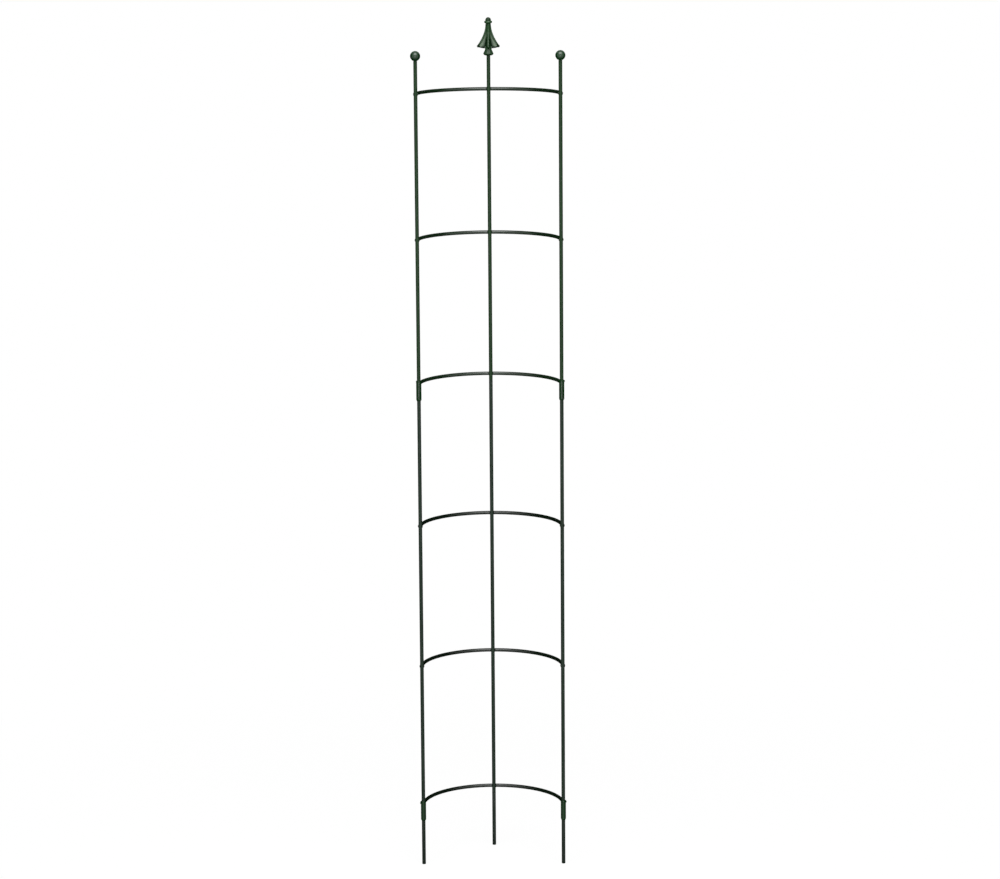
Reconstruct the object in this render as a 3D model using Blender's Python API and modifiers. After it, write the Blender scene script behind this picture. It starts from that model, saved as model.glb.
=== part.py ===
"""Half obelisk plant support: a half-round climbing frame, open at the front, on three ground stakes.

Two side uprights and a centre upright carry half-round hoops. The frame comes apart into an upper
section, a lower section and three ground stakes. The side uprights are joined in sleeves, the
centre one on hidden spigots. The side uprights end in balls, the centre one in a winged spear.
Sizes are in metres. +Z is up, +X is right and -Y is the open front. The origin is on the ground,
under the middle of the frame's box.
"""

import math

import bmesh
import bpy
from mathutils import Matrix, Vector

# Uprights, which are tubes, and hoops, which are solid bar
UPRIGHT_SPACING = 0.3166
UPRIGHT_D = 0.0083
UPRIGHT_WALL = 0.001
HOOP_D = 0.0080
HOOPS_PER_SECTION = 3
HOOP_PITCH = 0.3207
LOWEST_HOOP_HEIGHT = 0.1392
SIDE_TOP_ABOVE_HOOP = 0.0722
CENTRE_TOP_ABOVE_HOOP = 0.0741

# Sleeves on the side uprights, fixed to the upper piece of each joint
SLEEVE_LENGTH = 0.0432
SLEEVE_ABOVE_HOOP = 0.0068
SLEEVE_WALL = 0.0014
SLEEVE_ENTRY = 0.028
SLEEVE_TAPER_LENGTH = 0.003
SLEEVE_MOUTH_WALL = 0.0006

# Spigots in the centre upright
CENTRE_SEAM_BELOW_HOOP = 0.013
SPIGOT_ENTRY = 0.028
SPIGOT_HOLD = 0.030

# Ground stakes, of solid bar as thick as the uprights
STAKE_FOOT_ROUND = 0.0012
LEAD_IN = 0.0008

# Ball finials
BALL_D = 0.0224
BALL_SPIGOT_LENGTH = 0.014

# Spear finial, with its heights counted from its lower rim or down from its top
SPEAR_HEIGHT = 0.0848
SPEAR_SOCKET_DEPTH = 0.012
SPEAR_COLLAR_D = 0.0227
SPEAR_COLLAR_LIP = 0.0032
SPEAR_COLLAR_POWER = 1.2
SPEAR_NECK_D = 0.0154
SPEAR_NECK_HEIGHT = 0.0130
SPEAR_SPAN = 0.0513
SPEAR_TIP_HEIGHT = 0.0211
SPEAR_BARB_DROP = 0.0042
SPEAR_THROAT_D = 0.0127
SPEAR_THROAT_BELOW_TOP = 0.0155
SPEAR_RING_D = 0.0168
SPEAR_RING_BELOW_TOP = 0.0107
SPEAR_RING_LIP = 0.0028
SPEAR_BEAD_D = 0.0125
SPEAR_WEB = 0.0022
SPEAR_RIM_D_TOP = 0.0032
SPEAR_RIM_D_TIP = 0.0050
SPEAR_FLARE_POWER = 1.92
SPEAR_BULB_SHARE = 1.2
SPEAR_UNDER_SHARE = 0.92
SPEAR_WEB_SINK = 1 / 3
SPEAR_WEB_TIP_SINK = 1 / 2
SPEAR_RING_FROM = 60
SPEAR_RING_TO = -60

# Weld metal, which is part of the hoop or the sleeve that it holds
END_WELD_LEG = 0.0018
END_WELD_REACH = 0.0036
CROSS_WELD_R = 0.0056
CROSS_WELD_DEPTH = 0.0037
SLEEVE_WELD_D = 0.0030
SLEEVE_WELD_LUMP_D = 0.0050
SLEEVE_WELD_LUMP_SHARE = 1 / 3
SLEEVE_WELD_FROM = 20
SLEEVE_WELD_TO = -105

# Clearance between pieces that touch or slide in one another, and between bars that cross
GAP = 0.0003
CROSS_GAP = 0.0005

# Facets
ROUND_SIDES = 24
HOOP_STEPS = 32
HOOP_SIDE_STEPS = 3
RIM_STEPS = 10
WELD_SIDES = 10
WELD_RINGS = 6
SLEEVE_WELD_STEPS = 6
FOOT_STEPS = 3
BALL_STEPS = 11
BEAD_STEPS = 7
RING_STEPS = 5
COLLAR_STEPS = 5
LIP_STEPS = 4
SHARP_ANGLE = 35

# Colours of the paint and the bare steel, linear, from the photograph
UPRIGHT_GREEN = (0.030, 0.052, 0.030)
HOOP_GREEN = (0.028, 0.045, 0.028)
SLEEVE_GREEN = (0.034, 0.060, 0.034)
STAKE_GREEN = (0.023, 0.030, 0.024)
FINIAL_GREEN = (0.034, 0.072, 0.038)
BARE_STEEL = (0.42, 0.42, 0.43)

# Places and sizes that follow from the driving dimensions
HOOP_R = UPRIGHT_SPACING / 2
UPRIGHT_R = UPRIGHT_D / 2
BORE_R = UPRIGHT_R - UPRIGHT_WALL
SPIGOT_R = BORE_R - GAP
SLEEVE_BORE_R = UPRIGHT_R + GAP
SLEEVE_R = SLEEVE_BORE_R + SLEEVE_WALL
HOOP_HEIGHTS = [LOWEST_HOOP_HEIGHT + i * HOOP_PITCH for i in range(2 * HOOPS_PER_SECTION)]
LOW_JOINT_HOOP = HOOP_HEIGHTS[0]
MID_JOINT_HOOP = HOOP_HEIGHTS[HOOPS_PER_SECTION]
SIDE_TOP = HOOP_HEIGHTS[-1] + SIDE_TOP_ABOVE_HOOP
CENTRE_TOP = HOOP_HEIGHTS[-1] + CENTRE_TOP_ABOVE_HOOP
SPEAR_THROAT_HEIGHT = SPEAR_HEIGHT - SPEAR_THROAT_BELOW_TOP
SPEAR_RING_HEIGHT = SPEAR_HEIGHT - SPEAR_RING_BELOW_TOP
CENTRE_INSET = HOOP_R - HOOP_D / 2 - CROSS_GAP - UPRIGHT_R
BOX_FRONT = -max(BALL_D / 2, SLEEVE_R)
BOX_BACK = max(CENTRE_INSET + SPEAR_SPAN / 2, HOOP_R + HOOP_D / 2)
SIDE_Y = -(BOX_FRONT + BOX_BACK) / 2
CENTRE_Y = SIDE_Y + CENTRE_INSET
SIDES = {"left": -1, "right": 1}


def sleeve_top(hoop_height):
    """Upper rim of a sleeve, which reaches a little above its hoop."""
    return hoop_height + SLEEVE_ABOVE_HOOP


def side_seam(hoop_height):
    """Height inside a sleeve at which the two pieces of a side upright meet."""
    return sleeve_top(hoop_height) - SLEEVE_LENGTH + SLEEVE_ENTRY


def centre_seam(hoop_height):
    """Height at which the two pieces of the centre upright meet, below a hoop."""
    return hoop_height - CENTRE_SEAM_BELOW_HOOP


def clear_scene():
    """Removes whatever the file starts with."""
    for obj in list(bpy.data.objects):
        bpy.data.objects.remove(obj, do_unlink=True)


def make_collection(name):
    """A collection of that name under the scene."""
    collection = bpy.data.collections.new(name)
    bpy.context.scene.collection.children.link(collection)
    return collection


def make_finish(name, colour, roughness, metallic=0.0):
    """A Principled material with one colour, roughness and metallic value."""
    material = bpy.data.materials.new(name)
    material.use_nodes = True
    shader = material.node_tree.nodes["Principled BSDF"]
    shader.inputs["Base Color"].default_value = (*colour, 1.0)
    shader.inputs["Roughness"].default_value = roughness
    shader.inputs["Metallic"].default_value = metallic
    material.diffuse_color = (*colour, 1.0)
    return material


def place(obj, collection, parent=None, location=(0, 0, 0), finish=None):
    """Puts an object in its collection, under its parent, with its finish."""
    collection.objects.link(obj)
    obj.location = location
    obj.parent = parent
    if finish is not None:
        obj.data.materials.append(finish)
    return obj


def as_tool(obj):
    """Marks an object as a cutter or a shape that is joined into another, and not a part."""
    obj.hide_render = True
    obj.display_type = "WIRE"
    return obj


def arc(centre_x, centre_z, radius, start, end, steps):
    """Points on an arc in the turning plane, with angles in degrees from +X towards +Z."""
    angles = [math.radians(start + (end - start) * i / steps) for i in range(steps + 1)]
    return [(centre_x + radius * math.cos(a), centre_z + radius * math.sin(a)) for a in angles]


def turned(name, profile, closed=False):
    """A mesh object that turns a profile of (radius, height) points about Z with a Screw modifier.

    The profile runs down its outer side. A closed profile makes a ring or a tube.
    """
    mesh = bpy.data.meshes.new(name)
    points = [(radius, 0.0, height) for radius, height in profile]
    edges = [(i, i + 1) for i in range(len(points) - 1)]
    if closed:
        edges.append((len(points) - 1, 0))
    mesh.from_pydata(points, edges, [])
    obj = bpy.data.objects.new(name, mesh)
    screw = obj.modifiers.new("turn", "SCREW")
    screw.steps = ROUND_SIDES
    screw.render_steps = ROUND_SIDES
    screw.use_merge_vertices = True
    screw.merge_threshold = 0.00001
    screw.use_smooth_shade = True
    return obj


def poly_curve(name, paths, radius=0.0, side_steps=2, cyclic=False, flat_half=0.0):
    """A curve object of one POLY spline per path, as round bar or as a flat extruded outline.

    A path's points are (x, y, z) or (x, y, z, share), where share scales the bar's radius there.
    """
    curve = bpy.data.curves.new(name, "CURVE")
    curve.dimensions = "2D" if flat_half else "3D"
    curve.resolution_u = 1
    curve.render_resolution_u = 0
    curve.bevel_depth = radius
    curve.bevel_resolution = side_steps
    curve.extrude = flat_half
    curve.fill_mode = "BOTH" if flat_half else "FULL"
    curve.use_fill_caps = not flat_half
    for path in paths:
        spline = curve.splines.new("POLY")
        spline.points.add(len(path) - 1)
        for point, place_of in zip(spline.points, path):
            point.co = (*place_of[:3], 1.0)
            point.radius = place_of[3] if len(place_of) > 3 else 1.0
        spline.use_cyclic_u = cyclic
    return bpy.data.objects.new(name, curve)


def curve_to_mesh(obj, collection):
    """Replaces a curve object by a mesh object of the same name, its caps welded on."""
    collection.objects.link(obj)
    bpy.context.view_layer.update()
    evaluated = obj.evaluated_get(bpy.context.evaluated_depsgraph_get())
    mesh = bpy.data.meshes.new_from_object(evaluated)
    world = obj.matrix_world.copy()
    name = obj.name
    bpy.data.objects.remove(obj, do_unlink=True)
    shape = bmesh.new()
    shape.from_mesh(mesh)
    bmesh.ops.remove_doubles(shape, verts=shape.verts, dist=0.00001)
    bmesh.ops.recalc_face_normals(shape, faces=shape.faces)
    shape.to_mesh(mesh)
    shape.free()
    mesh.name = name
    mesh.transform(world)
    return bpy.data.objects.new(name, mesh)


def boolean(obj, other, operation):
    """Adds an exact Boolean modifier."""
    modifier = obj.modifiers.new(f"{operation.lower()}_{other.name}", "BOOLEAN")
    modifier.operation = operation
    modifier.solver = "EXACT"
    modifier.object = other
    return obj


def smooth(obj):
    """Shades a round piece smooth, with its sharp edges kept."""
    obj.data.shade_smooth()
    obj.data.set_sharp_from_angle(angle=math.radians(SHARP_ANGLE))
    return obj


def cylinders(name, places):
    """One tool object of upright cylinders, each given as (x, y, radius, bottom, top)."""
    shape = bmesh.new()
    for x, y, radius, bottom, top in places:
        middle = Matrix.Translation((x, y, (bottom + top) / 2))
        bmesh.ops.create_cone(shape, cap_ends=True, segments=ROUND_SIDES, radius1=radius,
                              radius2=radius, depth=top - bottom, matrix=middle)
    mesh = bpy.data.meshes.new(name)
    shape.to_mesh(mesh)
    shape.free()
    return as_tool(bpy.data.objects.new(name, mesh))


def hoop_path():
    """Points of a half circle from the left upright's axis round the back to the right one's."""
    path = []
    for i in range(HOOP_STEPS + 1):
        angle = math.pi * (1 - i / HOOP_STEPS)
        path.append((HOOP_R * math.cos(angle), SIDE_Y + HOOP_R * math.sin(angle), 0.0))
    return path


def make_cutters(tools):
    """Cylinders, one clearance larger than the uprights and the sleeves, that seat the weld metal."""
    span = (-UPRIGHT_SPACING, CENTRE_TOP + UPRIGHT_SPACING)
    sides = list(SIDES.values())
    seats = {
        "side_uprights": [(side * HOOP_R, SIDE_Y, UPRIGHT_R + GAP, *span) for side in sides],
        "sleeves": [(side * HOOP_R, SIDE_Y, SLEEVE_R + GAP, *span) for side in sides],
        "sleeve_bores": [(side * HOOP_R, SIDE_Y, SLEEVE_BORE_R + GAP, *span) for side in sides],
        "centre_upright": [(0, CENTRE_Y, UPRIGHT_R + GAP, *span)],
    }
    made = {name: cylinders(f"{name}_cutter", places) for name, places in seats.items()}
    for obj in made.values():
        tools.objects.link(obj)
    return made


def add_blob(shape, centre, size):
    """Adds an ellipsoid of weld metal, size being its half widths along X, Y and Z."""
    scale = Matrix.Diagonal((*size, 1.0))
    bmesh.ops.create_uvsphere(shape, u_segments=WELD_SIDES, v_segments=WELD_RINGS, radius=1.0,
                              matrix=Matrix.Translation(centre) @ scale)


def make_hoop_welds(name, height, seat, tools):
    """The weld metal of one hoop: a fillet round each end and one where it crosses the centre upright.

    seat is the radius of what its ends butt against.
    """
    shape = bmesh.new()
    around = HOOP_D / 2 + END_WELD_LEG
    for side in SIDES.values():
        add_blob(shape, (side * HOOP_R, SIDE_Y + seat + GAP, height), (around, END_WELD_REACH, around))
    contact = CENTRE_Y + UPRIGHT_R + CROSS_GAP / 2
    add_blob(shape, (0, contact, height), (CROSS_WELD_R, CROSS_WELD_DEPTH, CROSS_WELD_R))
    mesh = bpy.data.meshes.new(name)
    shape.to_mesh(mesh)
    shape.free()
    return place(as_tool(bpy.data.objects.new(name, mesh)), tools)


def make_hoop(name, height, on_sleeve, section, finish, parts, tools, cutters):
    """A half-round hoop of bar with its weld metal, coped to what its ends butt against."""
    curve = poly_curve(name, [hoop_path()], HOOP_D / 2, HOOP_SIDE_STEPS)
    hoop = smooth(curve_to_mesh(curve, parts))
    place(hoop, parts, section, (0, 0, height), finish)
    seat = SLEEVE_R if on_sleeve else UPRIGHT_R
    boolean(hoop, make_hoop_welds(f"{name}_welds", height, seat, tools), "UNION")
    boolean(hoop, cutters["sleeves" if on_sleeve else "side_uprights"], "DIFFERENCE")
    return boolean(hoop, cutters["centre_upright"], "DIFFERENCE")


def tube_profile(outer, inner, bottom, top, chamfer):
    """A tube's wall as a closed outline, with both outer edges broken."""
    return [
        (outer - chamfer, top),
        (outer, top - chamfer),
        (outer, bottom + chamfer),
        (outer - chamfer, bottom),
        (inner, bottom),
        (inner, top),
    ]


def make_upright(name, x, y, bottom, top, section, finish, parts):
    """One piece of an upright: a round tube, standing on its lower end."""
    profile = tube_profile(UPRIGHT_R, BORE_R, 0.0, top - bottom, GAP)
    return place(turned(name, profile, closed=True), parts, section, (x, y, bottom), finish)


def make_sleeve_weld(name, side, hoop_height, tools, cutters):
    """A bead along a sleeve's upper rim, from a lump on its outer side round to the front."""
    top = sleeve_top(hoop_height)
    reach = (UPRIGHT_R + SLEEVE_R) / 2 + GAP
    lump = SLEEVE_WELD_LUMP_D / SLEEVE_WELD_D
    path = []
    for i in range(SLEEVE_WELD_STEPS + 1):
        share = i / SLEEVE_WELD_STEPS
        turn = math.radians(SLEEVE_WELD_FROM + (SLEEVE_WELD_TO - SLEEVE_WELD_FROM) * share)
        x = side * (HOOP_R + reach * math.cos(turn))
        y = SIDE_Y + reach * math.sin(turn)
        thick = 1 + (lump - 1) * max(0.0, 1 - share / SLEEVE_WELD_LUMP_SHARE)
        path.append((x, y, top - SLEEVE_WELD_D / 2 * (thick - 1), thick))
    weld = as_tool(curve_to_mesh(poly_curve(name, [path], SLEEVE_WELD_D / 2), tools))
    place(weld, tools)
    return boolean(weld, cutters["sleeve_bores"], "DIFFERENCE")


def make_sleeve(name, side, hoop_height, section, finish, parts, tools, cutters):
    """A joint sleeve with its weld bead, whose lower mouth is drawn in to a thinner wall."""
    profile = [
        (SLEEVE_R - GAP, SLEEVE_LENGTH),
        (SLEEVE_R, SLEEVE_LENGTH - GAP),
        (SLEEVE_R, SLEEVE_TAPER_LENGTH),
        (SLEEVE_BORE_R + SLEEVE_MOUTH_WALL, 0.0),
        (SLEEVE_BORE_R, 0.0),
        (SLEEVE_BORE_R, SLEEVE_LENGTH),
    ]
    bottom = sleeve_top(hoop_height) - SLEEVE_LENGTH
    sleeve = turned(name, profile, closed=True)
    place(sleeve, parts, section, (side * HOOP_R, SIDE_Y, bottom), finish)
    return boolean(sleeve, make_sleeve_weld(f"{name}_weld", side, hoop_height, tools, cutters), "UNION")


def make_joint_spigot(name, seam, section, finish, parts):
    """The hidden pin held in the upper centre tube, which the lower tube slides onto."""
    profile = [
        (0.0, SPIGOT_HOLD),
        (SPIGOT_R - LEAD_IN, SPIGOT_HOLD),
        (SPIGOT_R, SPIGOT_HOLD - LEAD_IN),
        (SPIGOT_R, -SPIGOT_ENTRY + LEAD_IN),
        (SPIGOT_R - LEAD_IN, -SPIGOT_ENTRY),
        (0.0, -SPIGOT_ENTRY),
    ]
    return place(turned(name, profile), parts, section, (0, CENTRE_Y, seam), finish)


def foot_profile():
    """The blunt lower end of a stake, down its side, round its edge and in to the axis."""
    edge = UPRIGHT_R - STAKE_FOOT_ROUND
    return arc(edge, STAKE_FOOT_ROUND, STAKE_FOOT_ROUND, 0, -90, FOOT_STEPS) + [(0.0, 0.0)]


def make_side_stake(name, side, stake_body, finish, parts):
    """A ground stake that pushes up into a sleeve until it meets the upright."""
    top = side_seam(LOW_JOINT_HOOP)
    profile = [(0.0, top), (UPRIGHT_R - LEAD_IN, top), (UPRIGHT_R, top - LEAD_IN)]
    return place(turned(name, profile + foot_profile()), parts, stake_body, (0, 0, 0), finish)


def make_centre_stake(name, stake_body, finish, parts):
    """The centre ground stake, whose upper end is turned down to a spigot inside the tube above."""
    shoulder = centre_seam(LOW_JOINT_HOOP)
    top = shoulder + SPIGOT_ENTRY
    profile = [
        (0.0, top),
        (SPIGOT_R - LEAD_IN, top),
        (SPIGOT_R, top - LEAD_IN),
        (SPIGOT_R, shoulder),
        (UPRIGHT_R, shoulder),
    ]
    return place(turned(name, profile + foot_profile()), parts, stake_body, (0, 0, 0), finish)


def make_ball(name, side, section, finish, parts):
    """A ball that sits on a tube's end, with a spigot down the bore."""
    radius = BALL_D / 2
    rise = math.sqrt(radius ** 2 - UPRIGHT_R ** 2)
    seat_angle = -math.degrees(math.asin(rise / radius))
    profile = arc(0.0, rise, radius, 90, seat_angle, BALL_STEPS)
    profile[0] = (0.0, rise + radius)
    profile += [
        (SPIGOT_R, 0.0),
        (SPIGOT_R, -BALL_SPIGOT_LENGTH + LEAD_IN),
        (SPIGOT_R - LEAD_IN, -BALL_SPIGOT_LENGTH),
        (0.0, -BALL_SPIGOT_LENGTH),
    ]
    seat = SIDE_TOP + GAP
    return place(turned(name, profile), parts, section, (side * HOOP_R, SIDE_Y, seat), finish)


def spear_core_profile():
    """The spear's turned core: bead, ring, waisted stem, neck and bell collar with its blind socket."""
    bead_r = SPEAR_BEAD_D / 2
    bead_z = SPEAR_HEIGHT - bead_r
    ring_x = SPEAR_RING_D / 2 - SPEAR_RING_LIP
    stem_r = SPEAR_THROAT_D / 2 - SPEAR_RIM_D_TOP / 4
    ring_top = SPEAR_RING_HEIGHT + SPEAR_RING_LIP * math.sin(math.radians(SPEAR_RING_FROM))
    bead_end = math.degrees(math.asin((ring_top - bead_z) / bead_r))
    profile = arc(0.0, bead_z, bead_r, 90, bead_end, BEAD_STEPS)
    profile[0] = (0.0, SPEAR_HEIGHT)
    profile += arc(ring_x, SPEAR_RING_HEIGHT, SPEAR_RING_LIP, SPEAR_RING_FROM, SPEAR_RING_TO, RING_STEPS)
    profile.append((stem_r, SPEAR_THROAT_HEIGHT))
    profile.append((SPEAR_NECK_D / 2 - SPEAR_WEB / 2, SPEAR_TIP_HEIGHT + SPEAR_RIM_D_TIP))
    for i in range(COLLAR_STEPS):
        share = i / COLLAR_STEPS
        flare = (SPEAR_COLLAR_D - SPEAR_NECK_D) / 2 * share ** SPEAR_COLLAR_POWER
        height = SPEAR_NECK_HEIGHT + (SPEAR_COLLAR_LIP - SPEAR_NECK_HEIGHT) * share
        profile.append((SPEAR_NECK_D / 2 + flare, height))
    lip_x = SPEAR_COLLAR_D / 2 - SPEAR_COLLAR_LIP
    profile += arc(lip_x, SPEAR_COLLAR_LIP, SPEAR_COLLAR_LIP, 0, -90, LIP_STEPS)
    profile += [
        (SLEEVE_BORE_R, 0.0),
        (SLEEVE_BORE_R, SPEAR_SOCKET_DEPTH),
        (0.0, SPEAR_SOCKET_DEPTH),
    ]
    return profile


def spear_flare(share):
    """Centre of a wing's outer rim as (distance, height, radius), share 0 at the throat, 1 at the tip.

    The distance from the axis is a power curve that opens out towards the bulb at the tip.
    """
    throat_x = (SPEAR_THROAT_D - SPEAR_RIM_D_TOP) / 2
    tip_x = (SPEAR_SPAN - SPEAR_RIM_D_TIP * SPEAR_BULB_SHARE) / 2
    reach = throat_x + (tip_x - throat_x) * share ** SPEAR_FLARE_POWER
    height = SPEAR_THROAT_HEIGHT + (SPEAR_TIP_HEIGHT - SPEAR_THROAT_HEIGHT) * share
    rim_r = (SPEAR_RIM_D_TOP + (SPEAR_RIM_D_TIP - SPEAR_RIM_D_TOP) * share) / 2
    return reach, height, rim_r


def evaluated_copy(obj, name):
    """A mesh holding what an object's modifiers make of it."""
    bpy.context.view_layer.update()
    evaluated = obj.evaluated_get(bpy.context.evaluated_depsgraph_get())
    mesh = bpy.data.meshes.new_from_object(evaluated)
    mesh.name = name
    return mesh


def make_wing_mesh(tools):
    """One wing, reaching along +X: a thin web inside thick round rims, with a bulb at its tip.

    The web's edges are sunk into the rims by a share of their radius.
    """
    root_x = SPEAR_NECK_D / 4
    under_z = SPEAR_TIP_HEIGHT - SPEAR_BARB_DROP
    tip_x, tip_z, tip_r = spear_flare(1.0)
    rim = [spear_flare(i / RIM_STEPS) for i in range(RIM_STEPS + 1)]
    outline = [(SPEAR_WEB, SPEAR_THROAT_HEIGHT - SPEAR_WEB, 0.0)]
    outline += [(reach - rim_r * SPEAR_WEB_SINK, height, 0.0) for reach, height, rim_r in rim[1:-1]]
    outline.append((tip_x - tip_r * SPEAR_WEB_TIP_SINK, tip_z + tip_r * SPEAR_WEB_SINK, 0.0))
    outline.append((SPEAR_WEB, under_z + tip_r * SPEAR_WEB_SINK, 0.0))
    web = poly_curve("spear_wing", [outline], cyclic=True, flat_half=SPEAR_WEB / 2)
    web.rotation_euler = (math.pi / 2, 0.0, 0.0)
    wing = place(as_tool(curve_to_mesh(web, tools)), tools)
    outer_path = [(reach, 0.0, height, rim_r / tip_r) for reach, height, rim_r in rim]
    under_path = [(root_x, 0.0, under_z), (tip_x, 0.0, tip_z)]
    bulb = bmesh.new()
    bmesh.ops.create_uvsphere(bulb, u_segments=WELD_SIDES, v_segments=WELD_RINGS,
                              radius=tip_r * SPEAR_BULB_SHARE, matrix=Matrix.Translation((tip_x, 0.0, tip_z)))
    bulb_mesh = bpy.data.meshes.new("spear_tip_bulb")
    bulb.to_mesh(bulb_mesh)
    bulb.free()
    shapes = [
        curve_to_mesh(poly_curve("spear_outer_rim", [outer_path], tip_r), tools),
        curve_to_mesh(poly_curve("spear_under_rim", [under_path], tip_r * SPEAR_UNDER_SHARE), tools),
        bpy.data.objects.new("spear_tip_bulb", bulb_mesh),
    ]
    for shape in shapes:
        boolean(wing, place(as_tool(shape), tools), "UNION")
    return evaluated_copy(wing, "spear_wing_whole")


def make_spear(name, section, finish, parts, tools):
    """The cast spear: a turned core with four rimmed wings joined to it."""
    base = Vector((0, CENTRE_Y, CENTRE_TOP))
    spear = place(turned(name, spear_core_profile()), parts, section, base, finish)
    mesh = make_wing_mesh(tools)
    for quarter in range(4):
        wing = as_tool(bpy.data.objects.new(f"spear_wing_{quarter + 1}", mesh))
        place(wing, tools, None, base)
        wing.rotation_euler = (0.0, 0.0, quarter * math.pi / 2)
        boolean(spear, wing, "UNION")
    return spear


def make_section(label, heights, joint_hoop, top_seams, section, finishes, parts, tools, cutters):
    """One welded section: three tubes, its hoops and the two sleeves at its foot.

    top_seams are the heights that its side uprights and its centre upright end at.
    """
    for side_name, side in SIDES.items():
        make_upright(f"{label}_{side_name}_upright", side * HOOP_R, SIDE_Y, side_seam(joint_hoop) + GAP,
                     top_seams[0], section, finishes["upright"], parts)
        make_sleeve(f"{label}_{side_name}_sleeve", side, joint_hoop, section, finishes["sleeve"],
                    parts, tools, cutters)
    make_upright(f"{label}_centre_upright", 0, CENTRE_Y, centre_seam(joint_hoop) + GAP, top_seams[1],
                 section, finishes["upright"], parts)
    for number, height in enumerate(heights, start=1):
        make_hoop(f"{label}_hoop_{number}", height, height == joint_hoop, section, finishes["hoop"],
                  parts, tools, cutters)


def make_body(name, parts, location=(0, 0, 0)):
    """An empty that carries what moves together, standing on its joint's axis."""
    body = bpy.data.objects.new(name, None)
    body.empty_display_size = UPRIGHT_SPACING / 10
    return place(body, parts, None, location)


def main():
    """Builds the whole support."""
    clear_scene()
    parts = make_collection("half_obelisk_plant_support")
    tools = make_collection("tools")
    finishes = {
        "upright": make_finish("upright_paint", UPRIGHT_GREEN, 0.45),
        "hoop": make_finish("hoop_paint", HOOP_GREEN, 0.45),
        "sleeve": make_finish("sleeve_paint", SLEEVE_GREEN, 0.42),
        "stake": make_finish("stake_paint", STAKE_GREEN, 0.50),
        "finial": make_finish("finial_paint", FINIAL_GREEN, 0.38),
        "spigot": make_finish("spigot_steel", BARE_STEEL, 0.35, 1.0),
    }
    cutters = make_cutters(tools)
    lower = make_body("lower_section", parts)
    upper = make_body("upper_section", parts)
    lower_tops = (side_seam(MID_JOINT_HOOP), centre_seam(MID_JOINT_HOOP))
    upper_tops = (SIDE_TOP, CENTRE_TOP + SPEAR_SOCKET_DEPTH - GAP)
    make_section("lower", HOOP_HEIGHTS[:HOOPS_PER_SECTION], LOW_JOINT_HOOP, lower_tops, lower,
                 finishes, parts, tools, cutters)
    make_section("upper", HOOP_HEIGHTS[HOOPS_PER_SECTION:], MID_JOINT_HOOP, upper_tops, upper,
                 finishes, parts, tools, cutters)
    make_joint_spigot("centre_joint_spigot", centre_seam(MID_JOINT_HOOP) + GAP / 2, upper,
                      finishes["spigot"], parts)
    for side_name, side in SIDES.items():
        make_ball(f"{side_name}_ball_finial", side, upper, finishes["finial"], parts)
        stake_body = make_body(f"{side_name}_stake_body", parts, (side * HOOP_R, SIDE_Y, 0))
        make_side_stake(f"{side_name}_ground_stake", side, stake_body, finishes["stake"], parts)
    make_spear("spear_finial", upper, finishes["finial"], parts, tools)
    centre_body = make_body("centre_stake_body", parts, (0, CENTRE_Y, 0))
    make_centre_stake("centre_ground_stake", centre_body, finishes["stake"], parts)


main()
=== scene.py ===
"""Half obelisk plant support: the looks of the welded frame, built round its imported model.

Sizes are in metres. +Z is up, +X is right, and the open front faces -Y.
"""

import math

import bpy
import numpy as np
from mathutils import Matrix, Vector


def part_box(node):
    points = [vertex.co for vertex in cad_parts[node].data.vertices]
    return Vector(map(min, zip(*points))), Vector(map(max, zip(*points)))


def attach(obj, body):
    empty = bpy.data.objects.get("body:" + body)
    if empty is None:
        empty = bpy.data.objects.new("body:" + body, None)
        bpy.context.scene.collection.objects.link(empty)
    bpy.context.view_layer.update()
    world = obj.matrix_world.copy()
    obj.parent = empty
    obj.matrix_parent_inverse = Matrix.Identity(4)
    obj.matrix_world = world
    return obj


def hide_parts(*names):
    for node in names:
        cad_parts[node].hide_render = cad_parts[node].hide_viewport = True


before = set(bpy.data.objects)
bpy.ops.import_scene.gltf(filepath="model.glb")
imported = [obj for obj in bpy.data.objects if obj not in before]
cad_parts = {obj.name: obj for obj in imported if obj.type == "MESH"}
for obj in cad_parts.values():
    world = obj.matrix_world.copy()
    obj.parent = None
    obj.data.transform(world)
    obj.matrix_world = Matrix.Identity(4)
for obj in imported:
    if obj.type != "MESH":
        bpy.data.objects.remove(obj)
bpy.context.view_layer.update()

MM = 0.001
SIDES = {"left": -1, "right": 1}
UPRIGHTS = ("left", "right", "centre")
SECTIONS = ("lower", "upper")
HOOPS_PER_SECTION = 3

# Sizes that a piece's box doesn't give
UPRIGHT_R = 4.15 * MM
TUBE_WALL = 1.0 * MM
EDGE_BREAK = 0.25 * MM
HOOP_BAR_R = 4.0 * MM
HOOP_END_GAP = 0.1 * MM
HOOP_COPE = 1.2 * MM
SLEEVE_LENGTH = 43.2 * MM
SLEEVE_R = 5.85 * MM
SLEEVE_BORE_R = 4.45 * MM
SLEEVE_TAPER = 3.0 * MM
SLEEVE_MOUTH_R = 5.05 * MM
SLEEVE_EDGE_BREAK = 0.3 * MM
SPIGOT_R = 2.85 * MM
PUSH_FIT = 28.0 * MM
LEAD_IN = 0.8 * MM
FOOT_ROUND = 1.2 * MM
PARTING_LINE = 0.08 * MM

# Fineness of the surfaces: sides of round pieces, rows along them, and the grain of the casting's mesh
ROUND = 48
CAST_ROUND = 96
BAR_ROUND = 32
BEAD_ROUND = 16
HOOP_ROWS = 160
BEAD_ROWS = 72
RIM_BEAD_ROWS = 84
LUMP_ROWS = 28
CAST_VOXEL = 0.42 * MM

# How worn a weld bead is all over, as the paint reads it, where a broken edge is 1 at its middle
BEAD_WEAR = 0.35


# Surfaces, worked out as grids of points

def unit(vectors):
    """Vectors divided by their length."""
    return vectors / np.linalg.norm(vectors, axis=-1, keepdims=True)


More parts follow.
